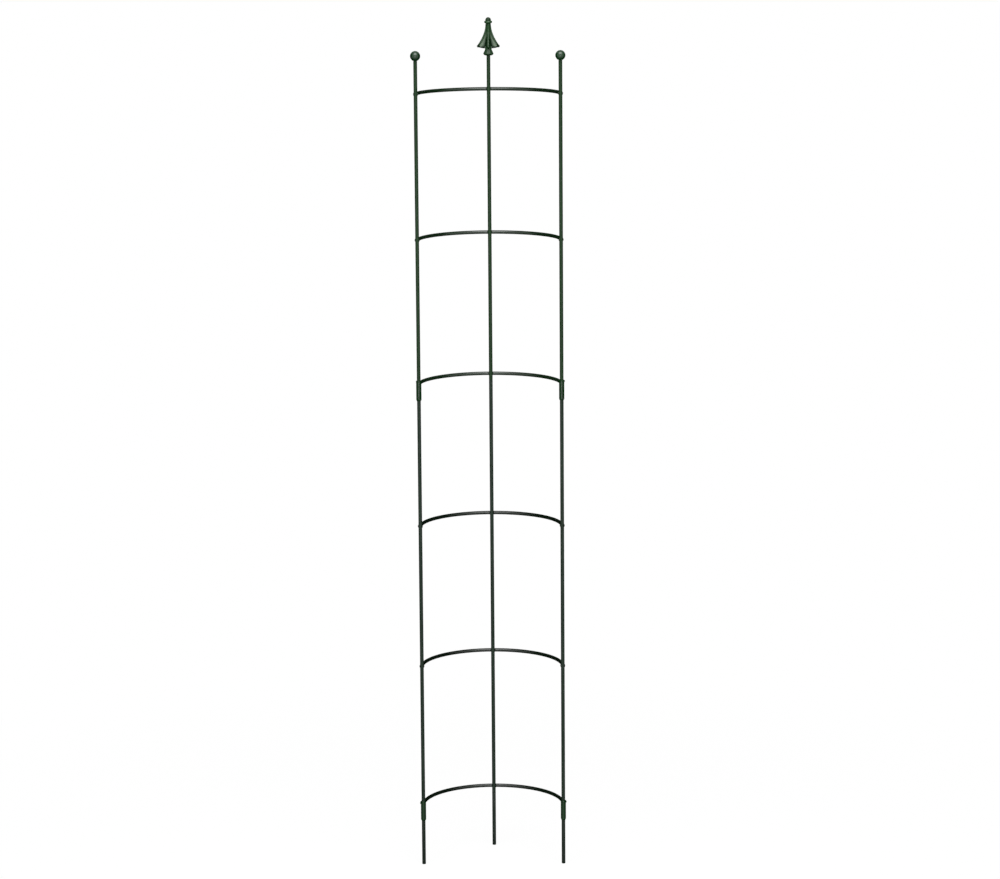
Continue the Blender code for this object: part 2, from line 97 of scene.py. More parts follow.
def rounded(outline, radius, steps=6, loop=False):
    """Breaks the corners of an outline, and says where its edges are.

    A corner P becomes the curve (1-t)^2 A + 2t(1-t) P + t^2 B, with A and B on its two sides, a radius away
    or a little less than halfway along a short side. The wear there is 4t(1-t).
    """
    corners = np.asarray(outline, float)
    back, on = np.roll(corners, 1, axis=0) - corners, np.roll(corners, -1, axis=0) - corners
    back_length = np.linalg.norm(back, axis=1, keepdims=True)
    on_length = np.linalg.norm(on, axis=1, keepdims=True)
    a = corners + back / back_length * np.minimum(radius, 0.45 * back_length)
    b = corners + on / on_length * np.minimum(radius, 0.45 * on_length)
    t = np.linspace(0.0, 1.0, steps)[None, :, None]
    curve = (1 - t) ** 2 * a[:, None] + 2 * t * (1 - t) * corners[:, None] + t ** 2 * b[:, None]
    wear = np.tile(4 * t[0, :, 0] * (1 - t[0, :, 0]), (len(corners), 1))
    if loop:
        return curve.reshape(-1, 2), wear.reshape(-1)
    points = np.vstack([corners[:1], curve[1:-1].reshape(-1, 2), corners[-1:]])
    return points, np.concatenate([[0.0], wear[1:-1].reshape(-1), [0.0]])


def arc(centre, radius, start, end, steps):
    """Points on an arc, centre + radius (cos a, sin a), with the angle a in degrees."""
    angles = np.radians(np.linspace(start, end, steps))
    return np.asarray(centre) + radius * np.stack([np.cos(angles), np.sin(angles)], axis=1)


def skin(grid, wear=0.0, start=None, end=None, loop=False):
    """A closed skin over rows of points, each row a ring: its points, its faces and its wear.

    Point (i, j) makes a face with (i, j+1), (i+1, j+1) and (i+1, j). An end is closed by a fan round the
    point start or end, or with loop the last row meets the first. The faces are turned outwards where
    the volume, a sixth of the sum of a . (b x c) over the triangles a, b, c, comes out negative.
    """
    rows, around = grid.shape[:2]
    index = np.arange(rows * around).reshape(rows, around)
    beside = np.roll(index, -1, axis=1)
    used = slice(0, rows if loop else rows - 1)
    faces = np.stack([index, beside, np.roll(beside, -1, axis=0), np.roll(index, -1, axis=0)], axis=-1)
    quads = faces[used].reshape(-1, 4)
    points = grid.reshape(-1, 3)
    worn = np.broadcast_to(np.asarray(wear, float), (rows, around)).reshape(-1)
    fans = np.empty((0, 3), int)
    for tip, ring, ring_beside in ((start, beside[0], index[0]), (end, index[-1], beside[-1])):
        if tip is not None:
            fans = np.vstack([fans, np.stack([ring, ring_beside, np.full(around, len(points))], axis=-1)])
            points = np.vstack([points, tip])
            worn = np.append(worn, 0.0)
    triangles = points[np.vstack([quads[:, [0, 1, 2]], quads[:, [0, 2, 3]], fans])]
    volume = np.einsum("ij,ij->", triangles[:, 0], np.cross(triangles[:, 1], triangles[:, 2]))
    if volume < 0:
        quads, fans = quads[:, ::-1], fans[:, ::-1]
    return points, quads, fans, worn


def lathe(profile, axis, wear=0.0, sides=ROUND, loop=False, swell=None):
    """Turns a profile of (radius, height) about a standing axis: (r cos a, r sin a, h) + axis.

    A profile that begins or ends on the axis closes there in a point. swell(a, h) may be added to r.
    """
    profile = np.asarray(profile, float)
    worn = np.broadcast_to(np.asarray(wear, float), len(profile))
    axis = np.asarray(axis, float)
    tips = [None, None]
    if not loop:
        for which, row in enumerate((0, -1)):
            if profile[row, 0] < 1e-9:
                tips[which] = axis + (0.0, 0.0, profile[row, 1])
        kept = slice(1 if tips[0] is not None else 0, -1 if tips[1] is not None else None)
        profile, worn = profile[kept], worn[kept]
    angle = np.linspace(0.0, 2 * np.pi, sides, endpoint=False)[None, :]
    height = np.broadcast_to(profile[:, 1:2], (len(profile), sides))
    radius = profile[:, 0:1] + (swell(angle, height) if swell else 0.0)
    grid = np.stack([radius * np.cos(angle), radius * np.sin(angle), height], axis=-1) + axis
    return skin(grid, np.repeat(worn[:, None], sides, axis=1), tips[0], tips[1], loop)


def carried(centres, radii, facing, sides=BEAD_ROUND, loop=False):
    """Carries a ring along a path: centre + r (cos b u + sin b v), square to the path.

    u is the direction facing with its part along the path taken out, and v is square to both.
    radii has one value a row, or one a point.
    """
    step = np.roll(centres, -1, axis=0) - np.roll(centres, 1, axis=0) if loop else np.gradient(centres, axis=0)
    along = unit(step)
    facing = np.broadcast_to(np.asarray(facing, float), centres.shape)
    u = unit(facing - np.sum(facing * along, axis=1, keepdims=True) * along)
    v = np.cross(along, u)
    b = np.linspace(0.0, 2 * np.pi, sides, endpoint=False)[None, :, None]
    radii = np.asarray(radii, float).reshape(len(centres), -1)[:, :, None]
    grid = centres[:, None] + radii * (np.cos(b) * u[:, None] + np.sin(b) * v[:, None])
    if loop:
        return skin(grid, BEAD_WEAR, loop=True)
    start, end = centres[0] - along[0] * radii[0, 0] / 2, centres[-1] + along[-1] * radii[-1, 0] / 2
    return skin(grid, BEAD_WEAR, start, end)


def wander(share, seed, waves=5):
    """A slow unevenness round a loop, the sum of sin(2 pi k s + p) / k, scaled to -1 to 1."""
    phases = np.random.default_rng(seed).uniform(0.0, 2 * np.pi, waves)
    k = np.arange(1, waves + 1)
    value = np.sum(np.sin(2 * np.pi * k * share[..., None] + phases) / k, axis=-1)
    return value / np.abs(value).max()


def bead_radii(share, radius, ripples, seed, sides=BEAD_ROUND):
    """Radius of a weld bead along its path and round it, with the ripples that each puddle of metal left.

    r (1 + 0.10 w(s) + 0.07 cos(2 pi n s + 0.9 cos b)), where n is the number of ripples and w wanders.
    """
    b = np.linspace(0.0, 2 * np.pi, sides, endpoint=False)[None, :]
    ripple = np.cos(2 * np.pi * ripples * share[:, None] + 0.9 * np.cos(b))
    return radius * (1 + 0.10 * wander(share, seed)[:, None] + 0.07 * ripple)


# Meshes and objects

def keep_on_points(mesh, name, values):
    """Keeps one value a point with the mesh, for the paint to read."""
    attribute = mesh.attributes.get(name) or mesh.attributes.new(name, "FLOAT", "POINT")
    attribute.data.foreach_set("value", values.astype(np.float32))


def make_object(name, skins):
    """A smooth-shaded mesh object of one or more skins, with its wear kept as an attribute."""
    points, corners, starts, worn = [], [], [], []
    first_point = first_corner = 0
    for skin_points, quads, fans, skin_worn in skins:
        for faces in (quads, fans):
            corners.append((faces + first_point).reshape(-1))
            starts.append(first_corner + np.arange(len(faces)) * faces.shape[1])
            first_corner += faces.size
        points.append(skin_points)
        worn.append(skin_worn)
        first_point += len(skin_points)
    points, corners, starts = np.vstack(points), np.concatenate(corners), np.concatenate(starts)
    mesh = bpy.data.meshes.new(name)
    mesh.vertices.add(len(points))
    mesh.vertices.foreach_set("co", points.astype(np.float32).reshape(-1))
    mesh.loops.add(len(corners))
    mesh.loops.foreach_set("vertex_index", corners.astype(np.int32))
    mesh.polygons.add(len(starts))
    mesh.polygons.foreach_set("loop_start", starts.astype(np.int32))
    mesh.update(calc_edges=True)
    keep_on_points(mesh, "wear", np.concatenate(worn))
    mesh.shade_smooth()
    obj = bpy.data.objects.new(name, mesh)
    bpy.context.scene.collection.objects.link(obj)
    return obj


def applied(obj, name):
    """Gives an object the mesh that its modifiers make of it."""
    bpy.context.view_layer.update()
    evaluated = obj.evaluated_get(bpy.context.evaluated_depsgraph_get())
    mesh = bpy.data.meshes.new_from_object(evaluated)
    mesh.name = name
    obj.modifiers.clear()
    obj.data = mesh
    return obj


def welded(name, skins, crease=50):
    """Joins skins that run into each other into one closed skin, with creases where they meet."""
    whole, *others = [make_object(f"{name}_{number}", [one]) for number, one in enumerate(skins)]
    for other in others:
        modifier = whole.modifiers.new("join", "BOOLEAN")
        modifier.operation = "UNION"
        modifier.solver = "MANIFOLD"
        modifier.object = other
    whole = applied(whole, name)
    for other in others:
        bpy.data.objects.remove(other, do_unlink=True)
    whole.name = name
    whole.data.shade_smooth()
    whole.data.set_sharp_from_angle(angle=math.radians(crease))
    return whole


def standing_proud(mesh, length, passes=3):
    """How far each point stands out of its neighbours, as a bend times a length.

    The bend is -2 n . (m - p) / h^2: p is the point, n its normal, m its neighbours' mean, h the edges' mean.
    """
    count = len(mesh.vertices)
    points, normals = np.empty(count * 3, np.float32), np.empty(count * 3, np.float32)
    mesh.vertices.foreach_get("co", points)
    mesh.vertices.foreach_get("normal", normals)
    points, normals = points.reshape(-1, 3).astype(float), normals.reshape(-1, 3)
    edges = np.empty(len(mesh.edges) * 2, np.int32)
    mesh.edges.foreach_get("vertices", edges)
    ends = np.vstack([edges.reshape(-1, 2), edges.reshape(-1, 2)[:, ::-1]])
    shares = 1 / np.maximum(np.bincount(ends[:, 0], minlength=count), 1)

    def mean_of_neighbours(values):
        return np.bincount(ends[:, 0], weights=values[ends[:, 1]], minlength=count) * shares

    mean = np.stack([mean_of_neighbours(points[:, axis]) for axis in range(3)], axis=1)
    edge = np.linalg.norm(points[ends[:, 0]] - points[ends[:, 1]], axis=1).mean()
    bend = -2 * np.sum(normals * (mean - points), axis=1) / edge ** 2 * length
    for _ in range(passes):
        bend = (bend + mean_of_neighbours(bend)) / 2
    return bend


def cast(name, skins, painted_light_at, wear_length=1.6 * MM, least_wear=0.6):
    """Melts skins together as in a casting: one even skin, smoothed until its corners are full.

    Edges that stand proud carry wear, and hollows the opposite, which the paint shows as painted shade.
    painted_light_at
    gives each point its tone: its painted shade and painted highlight.
    """
    whole = make_object(name, skins)
    remesh = whole.modifiers.new("melt", "REMESH")
    remesh.mode = "VOXEL"
    remesh.voxel_size = CAST_VOXEL
    remesh.use_smooth_shade = True
    soften = whole.modifiers.new("soften", "SMOOTH")
    soften.factor = 0.5
    soften.iterations = 4
    whole = applied(whole, name)
    whole.data.shade_smooth()
    keep_on_points(whole.data, "wear", np.clip(standing_proud(whole.data, wear_length) - least_wear, -1.0, 1.0))
    points = np.empty(len(whole.data.vertices) * 3, np.float32)
    whole.data.vertices.foreach_get("co", points)
    # The tone kept on each point is painted light: painted shade below 0 and painted highlight above 0
    keep_on_points(whole.data, "tone", painted_light_at(points.reshape(-1, 3).astype(float)))
    return whole


def put(obj, body, slot, finish, *nodes):
    """Gives a piece its finish and its body, and lets it stand for the CAD nodes it replaces."""
    obj.data.materials.clear()
    obj.data.materials.append(finish)
    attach(obj, body)
    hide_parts(*nodes)
    return obj


# Finishes

class Number:
    """A number that varies over a surface, kept in a shader socket, that sums can be done with."""

    def __init__(self, finish, socket):
        self.finish = finish
        self.socket = socket

    def __add__(self, other):
        return self.finish.sum_of("ADD", self, other)

    def __sub__(self, other):
        return self.finish.sum_of("SUBTRACT", self, other)

    def __rsub__(self, other):
        return self.finish.sum_of("SUBTRACT", other, self)

    def __mul__(self, other):
        return self.finish.sum_of("MULTIPLY", self, other)

    __radd__ = __add__
    __rmul__ = __mul__


class Finish:
    """A material or a world made of nodes."""

    def __init__(self, tree):
        self.tree = tree

    def node(self, kind, settings=None, values=None):
        """Makes a node, sets what it is, then gives its sockets their values or links."""
        made = self.tree.nodes.new(kind)
        for name, value in (settings or {}).items():
            setattr(made, name, value)
        for key, value in (values or {}).items():
            self.feed(made.inputs[key], value)
        return made

    def feed(self, socket, value):
        """Gives a socket a value, or links it."""
        value = getattr(value, "socket", value)
        if isinstance(value, bpy.types.NodeSocket):
            self.tree.links.new(value, socket)
        else:
            socket.default_value = value

    def sum_of(self, operation, first, second):
        """One step of arithmetic on numbers."""
        made = self.node("ShaderNodeMath", {"operation": operation}, {0: first, 1: second})
        return Number(self, made.outputs[0])

    def between(self, value, low, high):
        """0 where a number is under low, 1 where it is over high, and a smooth rise from one to the other."""
        made = self.node("ShaderNodeMapRange", {"interpolation_type": "SMOOTHSTEP"},
                         {"Value": value, "From Min": low, "From Max": high})
        return Number(self, made.outputs["Result"])

    def mixed(self, share, first, second):
        """Two colours mixed by a share."""
        made = self.node("ShaderNodeMix", {"data_type": "RGBA"}, {0: share, 6: first, 7: second})
        return made.outputs[2]

    def noise(self, place, size, detail=3.0, roughness=0.5):
        """Soft unevenness from 0 to 1, with patches about as large as size."""
        made = self.node("ShaderNodeTexNoise", {"noise_dimensions": "3D"},
                         {"Vector": place, "Scale": 1 / size, "Detail": detail, "Roughness": roughness})
        return Number(self, made.outputs["Fac"])

    def kept(self, name):
        """The value that each point of the mesh keeps under a name."""
        return Number(self, self.node("ShaderNodeAttribute", {"attribute_name": name}).outputs["Fac"])

    def downwards(self):
        """How far a face looks down: 1 for the underside of a ball, 0 for its side, and -1 for its top."""
        normal = self.node("ShaderNodeTexCoord").outputs["Normal"]
        made = self.node("ShaderNodeVectorMath", {"operation": "DOT_PRODUCT"}, {0: normal, 1: (0.0, 0.0, -1.0)})
        return Number(self, made.outputs["Value"])

    def stretched(self, place, scale):
        """Places with each axis scaled, so that a pattern runs along a piece."""
        made = self.node("ShaderNodeVectorMath", {"operation": "MULTIPLY"}, {0: place, 1: scale})
        return made.outputs[0]


def surface(name):
    """A new material: its nodes, its surface shader, and places on the object."""
    material = bpy.data.materials.new(name)
    material.use_nodes = True
    finish = Finish(material.node_tree)
    shader = material.node_tree.nodes["Principled BSDF"]
    place = finish.node("ShaderNodeTexCoord").outputs["Object"]
    return material, finish, shader, place


def darker(colour, share):
    """A colour's light brought down to a share of it."""
    return tuple(part * share for part in colour[:3]) + (1.0,)


def paint(name, colour, deep, worn, shine, coat_roughness=0.3, edge_on=0.42, face_on=1.05, cast_skin=0.0):
    """Stoved green paint on steel: a flat colour under a thin coat, with its gloss where it faces the eye.

    The gloss begins at edge_on and is full at face_on, both cosines of the angle from the eye. The paint
    pools unevenly, has a fine orange peel, is thinner and paler on edges, has painted shade in hollows, carries
    a few hair-fine scuffs, and is duller underneath. cast_skin adds the grain of a sand casting under it, the
    painted shade and painted highlight kept as the tone of each place on the casting, and more gloss on top.
    """
    material, finish, shader, place = surface(name)
    wear = finish.kept("wear")
    pools = finish.noise(place, 60 * MM, 2.0)
    mottle = finish.noise(place, 3.5 * MM, 4.0, 0.6)
    fine = finish.noise(place, 0.55 * MM, 2.0)
    peel = finish.noise(place, 1.3 * MM, 1.0)
    scratch_field = finish.noise(finish.stretched(place, (1.0, 1.0, 0.045)), 0.45 * MM, 1.0)
    patch = finish.noise(place, 22 * MM, 2.0)
    scuffs = finish.between(scratch_field, 0.70, 0.76) * finish.between(patch, 0.54, 0.64)
    thin = finish.between(wear + (mottle - 0.5) * 0.9, 0.35, 1.15)
    hollow = finish.between(wear * -1.0 + (mottle - 0.5) * 0.4, 0.25, 0.95)
    tone = finish.between(pools * 0.65 + mottle * 0.35, 0.36, 0.64)
    colour_now = finish.mixed(tone, deep, colour)
    # Painted shade: the hollows are darkened towards a third of the deep colour
    colour_now = finish.mixed(hollow * 0.7, colour_now, darker(deep, 0.35))
    colour_now = finish.mixed(thin * 0.22 + scuffs * 0.25, colour_now, worn)
    facing = 1.0 - Number(finish, finish.node("ShaderNodeLayerWeight", {}, {"Blend": 0.5}).outputs["Facing"])
    looks_down = finish.downwards()
    gloss = finish.between(facing, edge_on, face_on) * (1.0 - hollow * 0.8 - scuffs * 0.5)
    if cast_skin:
        # Painted light from the casting's kept tone: below 0 it darkens the paint as painted shade, above 0 it
        # lightens it towards the worn colour as painted highlight
        painted_light_kept = finish.kept("tone")
        sunk, painted_highlight = finish.between(painted_light_kept * -1.0, 0.0, 1.0), finish.between(painted_light_kept, 0.0, 1.0)
        colour_now = finish.mixed(sunk * 0.9, colour_now, darker(deep, 0.25))
        colour_now = finish.mixed(painted_highlight * 0.5, colour_now, worn)
        on_top = finish.between(looks_down * -1.0, 0.25, 0.65)
        gloss = (gloss + on_top * (1.0 - gloss) * 0.5) * (1.0 - sunk * 0.85)
    relief = peel * 0.55 + fine * 0.12 + mottle * (0.25 + cast_skin) - scuffs * 0.15
    relief_depth = 0.045 * MM + cast_skin * 0.06 * MM
    bump = finish.node("ShaderNodeBump", {}, {"Strength": 0.45, "Distance": relief_depth, "Height": relief})
    underneath = finish.between(looks_down, 0.05, 0.8)
    finish.feed(shader.inputs["Base Color"], colour_now)
    finish.feed(shader.inputs["Roughness"], (mottle - 0.5) * 0.16 + (fine - 0.5) * 0.08 + thin * 0.10 + 0.6)
    finish.feed(shader.inputs["Coat Weight"], gloss * (1.0 - underneath * 0.85) * shine)
    finish.feed(shader.inputs["Normal"], bump.outputs["Normal"])
    shader.inputs["Specular IOR Level"].default_value = 0.0
    shader.inputs["Coat Roughness"].default_value = coat_roughness
    return material


def bare_steel(name):
    """Drawn steel pin: long fine draw marks, a faint grease film and a few brown freckles."""
    material, finish, shader, place = surface(name)
    draw = finish.noise(finish.stretched(place, (1.0, 1.0, 0.03)), 0.25 * MM, 3.0)
    film = finish.noise(place, 5 * MM, 3.0)
    freckle = finish.between(finish.noise(place, 1.1 * MM, 2.0), 0.68, 0.76)
    greased, dry, rust = (0.17, 0.17, 0.18, 1.0), (0.27, 0.27, 0.27, 1.0), (0.16, 0.08, 0.04, 1.0)
    metal = finish.mixed(film, greased, dry)
    finish.feed(shader.inputs["Base Color"], finish.mixed(freckle * 0.6, metal, rust))
    finish.feed(shader.inputs["Roughness"], draw * 0.22 + film * 0.12 + 0.18)
    finish.feed(shader.inputs["Metallic"], 1.0 - freckle * 0.8)
    bump = finish.node("ShaderNodeBump", {}, {"Strength": 0.4, "Distance": 0.02 * MM, "Height": draw})
    finish.feed(shader.inputs["Normal"], bump.outputs["Normal"])
    return material


# Where things are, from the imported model

def middle(node):
    """Centre, lowest and highest corner of a node's box, as arrays."""
    low, high = (np.array(corner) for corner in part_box(node))
    return (low + high) / 2, low, high


SIDE_AXES = {side: middle(f"lower_{side}_upright")[0][:2] for side in SIDES}
CENTRE_AXIS = middle("lower_centre_upright")[0][:2]
HOOP_R = (SIDE_AXES["right"][0] - SIDE_AXES["left"][0]) / 2
SIDE_Y = SIDE_AXES["left"][1]


def tube(node):
    """An upright's tube: its wall turned round, with both ends' edges broken."""
    centre, low, high = middle(node)
    inner = UPRIGHT_R - TUBE_WALL
    outline = [(UPRIGHT_R, high[2]), (UPRIGHT_R, low[2]), (inner, low[2]), (inner, high[2])]
    profile, wear = rounded(outline, EDGE_BREAK, loop=True)
    return lathe(profile, (centre[0], centre[1], 0.0), wear, loop=True)


def hoop_bar(height, seat):
    """The bar of a hoop: a ring carried round a half circle, its ends coped to a round seat.

    Row i stands at angle a: centre (R cos a, R sin a), ring r (cos b outwards, sin b up). The end rows
    reach to y = sqrt(seat^2 - (r cos b)^2), the face of the upright or sleeve they butt against, and a hair.
    """
    b = np.linspace(0.0, 2 * np.pi, BAR_ROUND, endpoint=False)
    first = math.asin((seat + HOOP_COPE) / HOOP_R)
    a = np.linspace(first, np.pi - first, HOOP_ROWS)[:, None]
    reach = HOOP_R + HOOP_BAR_R * np.cos(b)[None, :]
    lift = np.broadcast_to(HOOP_BAR_R * np.sin(b), (HOOP_ROWS, BAR_ROUND))
    grid = np.stack([reach * np.cos(a), reach * np.sin(a), lift], axis=-1)
    across = HOOP_BAR_R * np.cos(b)
    cope = np.sqrt(seat ** 2 - across ** 2) + HOOP_END_GAP
    right_end = np.stack([HOOP_R + across, cope, HOOP_BAR_R * np.sin(b)], axis=-1)
    left_end = right_end * (-1.0, 1.0, 1.0)
    grid = np.concatenate([right_end[None], grid, left_end[None]]) + (0.0, SIDE_Y, height)
    tip = np.array([HOOP_R, SIDE_Y + seat + HOOP_END_GAP, height])
    return skin(grid, 0.0, tip, tip * (-1.0, 1.0, 1.0))


def end_weld(height, seat, side, seed):
    """The weld where a hoop's end meets a standing tube: a bead round the bar, on the face of the tube.

    (R + q cos t, low + (seat - low) sin^2 t, q sin t) and a hair off the face, q being a little more than
    the bar's radius and low the depth of the tube's face beside the bar.
    """
    bead, ripples = 1.25 * MM, 13
    round_bar, uneven, off_face = 0.35 * MM, 0.15 * MM, 0.25 * MM
    share = np.linspace(0.0, 1.0, BEAD_ROWS, endpoint=False)
    t = 2 * np.pi * share
    q = HOOP_BAR_R + round_bar + uneven * wander(share, seed + 40)
    low = math.sqrt(seat ** 2 - min(HOOP_BAR_R, 0.8 * seat) ** 2)
    y = low + (seat - low) * np.sin(t) ** 2 + off_face
    centres = np.stack([side * HOOP_R + q * np.cos(t), SIDE_Y + y, height + q * np.sin(t)], axis=-1)
    return carried(centres, bead_radii(share, bead, ripples, seed), (0.0, 1.0, 0.0), loop=True)


def cross_weld(height, seed):
    """The weld where a hoop crosses behind the centre upright: a ring in the saddle between the two bars.

    (q cos t, beside + (above - beside) sin^2 t, q sin t) from the upright's axis: forward, beside the upright,
    where the ring lies on the hoop, and back, above and below the hoop, where it lies on the upright.
    """
    bead, ripples = 1.7 * MM, 11
    ring_r, uneven = 4.0 * MM, 0.25 * MM
    beside, above = 3.3 * MM, 5.3 * MM
    share = np.linspace(0.0, 1.0, BEAD_ROWS, endpoint=False)
    t = 2 * np.pi * share
    q = ring_r + uneven * wander(share, seed + 80)
    y = CENTRE_AXIS[1] + beside + (above - beside) * np.sin(t) ** 2
    centres = np.stack([q * np.cos(t), y, height + q * np.sin(t)], axis=-1)
    return carried(centres, bead_radii(share, bead, ripples, seed), (0.0, 1.0, 0.0), loop=True)


def sleeve_tube(bottom, axis):
    """A sleeve: a wall drawn in at the lower mouth, turned round, its edges broken."""
    top = bottom + SLEEVE_LENGTH
    outline = [
        (SLEEVE_R, top),
        (SLEEVE_R, bottom + SLEEVE_TAPER),
        (SLEEVE_MOUTH_R, bottom),
        (SLEEVE_BORE_R, bottom),
        (SLEEVE_BORE_R, top),
    ]
    profile, wear = rounded(outline, SLEEVE_EDGE_BREAK, loop=True)
    return lathe(profile, (axis[0], axis[1], 0.0), wear, loop=True)


def rim_weld(top, axis, side, slant, bead, seed):
    """The weld round a sleeve's upper rim: a bead that leans, fullest on the outer side and the front.

    At angle t from the outer side it lies at (p cos t, p sin t, slant cos(t + 30)), where it is full by
    f = (1 + cos(t + 42)) / 2: p is halfway through the wall and f of a little more, and the bead's radius
    grows by 0.45 f.
    """
    ripples, uneven = 15, 0.15 * MM
    share = np.linspace(0.0, 1.0, RIM_BEAD_ROWS, endpoint=False)
    t = 2 * np.pi * share
    full = 0.5 + 0.5 * np.cos(t + math.radians(42))
    path_r = (UPRIGHT_R + SLEEVE_R) / 2 + uneven * full
    lean = slant * np.cos(t + math.radians(30)) + uneven * wander(share, seed + 7)
    centres = np.stack([axis[0] + side * path_r * np.cos(t), axis[1] + path_r * np.sin(t), top + lean], axis=-1)
    radii = bead_radii(share, bead, ripples, seed) * (1 + 0.45 * full[:, None])
    return carried(centres, radii, (0.0, 0.0, 1.0), loop=True)


def weld_lump(top, axis, side, size, drop, seed):
    """The lump where the rim's weld was begun: an egg of metal on the outer side of the sleeve.

    Rings of radius r sqrt(sin(pi s)) stand one below the other, and wander by a few per cent. size is the
    egg's radius and length.
    """
    above_rim, sunk, forward = 0.3 * MM, 0.35 * MM, 0.6 * MM
    share = np.linspace(0.02, 0.98, LUMP_ROWS)
    heights = top + above_rim - drop - (share - 0.35) * size[1]
    x, y = axis[0] + side * (SLEEVE_R - sunk), axis[1] - forward
    centres = np.stack([np.full_like(share, x), np.full_like(share, y), heights], axis=-1)
    radii = size[0] * np.sqrt(np.sin(np.pi * share)) * (1 + 0.07 * wander(share, seed))
    return carried(centres, radii, (1.0, 0.0, 0.0))


def stake(node, spigot):
    """A ground stake of round bar with a blunt foot; the centre one is turned down to a spigot above."""
    centre, _, high = middle(node)
    top, shoulder = high[2], high[2] - PUSH_FIT
    head_r = SPIGOT_R if spigot else UPRIGHT_R
    head = [(0.0, top), (head_r - LEAD_IN, top), (head_r, top - LEAD_IN)]
    if spigot:
        head += [(SPIGOT_R, shoulder), (UPRIGHT_R, shoulder)]
    profile, wear = rounded(head, EDGE_BREAK)
    foot = arc((UPRIGHT_R - FOOT_ROUND, FOOT_ROUND), FOOT_ROUND, 0, -90, 9)
    profile = np.vstack([profile, foot, [(0.0, 0.0)]])
    scraped = np.linspace(0.2, 1.0, len(foot))
    return lathe(profile, (centre[0], centre[1], 0.0), np.concatenate([wear, scraped, [0.3]]))


def pin(node):
    """The hidden pin of the centre joint, with both ends turned down to lead in."""
    centre, low, high = middle(node)
    outline = [(0.0, high[2]), (SPIGOT_R - LEAD_IN, high[2]), (SPIGOT_R, high[2] - LEAD_IN),
               (SPIGOT_R, low[2] + LEAD_IN), (SPIGOT_R - LEAD_IN, low[2]), (0.0, low[2])]
    profile, wear = rounded(outline, EDGE_BREAK)
    return lathe(profile, (centre[0], centre[1], 0.0), wear)


def ball(node):
    """A cast ball with a spigot below it.

    Its radius is drawn in by a hair, except at the parting line of the mould, which runs over it from front
    to back: the inset is PARTING_LINE (1 - e^-((cos a / 0.05)^2)) at angle a.
    """
    centre, low, high = middle(node)
    radius = (high[0] - low[0]) / 2
    middle_z = high[2] - radius
    seat = middle_z - math.sqrt(radius ** 2 - UPRIGHT_R ** 2)
    seat_angle = -math.degrees(math.acos(UPRIGHT_R / radius))
    round_part = arc((0.0, middle_z), radius, 90, seat_angle, 40)
    round_part[0, 0] = 0.0
    spigot = [(SPIGOT_R, seat), (SPIGOT_R, low[2] + LEAD_IN), (SPIGOT_R - LEAD_IN, low[2]), (0.0, low[2])]
    tail, _ = rounded([(UPRIGHT_R, seat), *spigot], EDGE_BREAK)
    profile = np.vstack([round_part, tail[1:]])
    line_low, line_high, line_width = seat + 1 * MM, high[2] - 0.2 * MM, 0.05

    def parting(angle, height):
        ridge = np.exp(-(np.cos(angle) / line_width) ** 2)
        return PARTING_LINE * (ridge - 1) * (height > line_low) * (height < line_high)

    return lathe(profile, (centre[0], centre[1], 0.0), 0.0, sides=CAST_ROUND, swell=parting)


# The spear, with heights above its lower rim
SPEAR_BASE = np.array([*CENTRE_AXIS, middle("spear_finial")[1][2]])
SPEAR_TOP = 84.8 * MM
SPEAR_SOCKET = 12.0 * MM
SPEAR_THROAT = 69.3 * MM
SPEAR_TIP = 21.1 * MM
SPEAR_UNDER = 18.2 * MM
SPEAR_THROAT_REACH, SPEAR_TIP_REACH = 4.55 * MM, 22.5 * MM
SPEAR_FLARE_POWER = 1.92
SPEAR_RIM_TOP, SPEAR_RIM_TIP, SPEAR_BULB = 1.6 * MM, 2.5 * MM, 3.0 * MM
SPEAR_WEB_HALF = 1.1 * MM
SPEAR_DOME = 6.25 * MM
SPEAR_RING_AT, SPEAR_RING = (6.2 * MM, 74.5 * MM), 2.7 * MM
SPEAR_FLUTE = 3.2 * MM


def smooth(value, low, high):
    """3 t^2 - 2 t^3, where t is the share of the way from low to high, kept between 0 and 1."""
    t = np.clip((value - low) / (high - low), 0.0, 1.0)
    return t * t * (3.0 - 2.0 * t)


def flare(share):
    """A wing's outer rim: distance from the axis, height and rim radius, 0 at the throat and 1 at the tip.

    The distance is its value at the throat plus the rest of it times share to the power 1.92.
    """
    rim = SPEAR_RIM_TOP + (SPEAR_RIM_TIP - SPEAR_RIM_TOP) * share
    reach = SPEAR_THROAT_REACH + (SPEAR_TIP_REACH - SPEAR_THROAT_REACH) * share ** SPEAR_FLARE_POWER
    return reach, SPEAR_THROAT + (SPEAR_TIP - SPEAR_THROAT) * share, rim


def turned_skin(one, turn):
    """A skin turned about the standing axis by a number of quarter turns, and set on the spear's base."""
    points, quads, fans, wear = one
    angle = turn * np.pi / 2
    cos, sin = math.cos(angle), math.sin(angle)
    x, y, z = points.T
    turned = np.stack([x * cos - y * sin, x * sin + y * cos, z], axis=1)
    return turned + SPEAR_BASE, quads, fans, wear


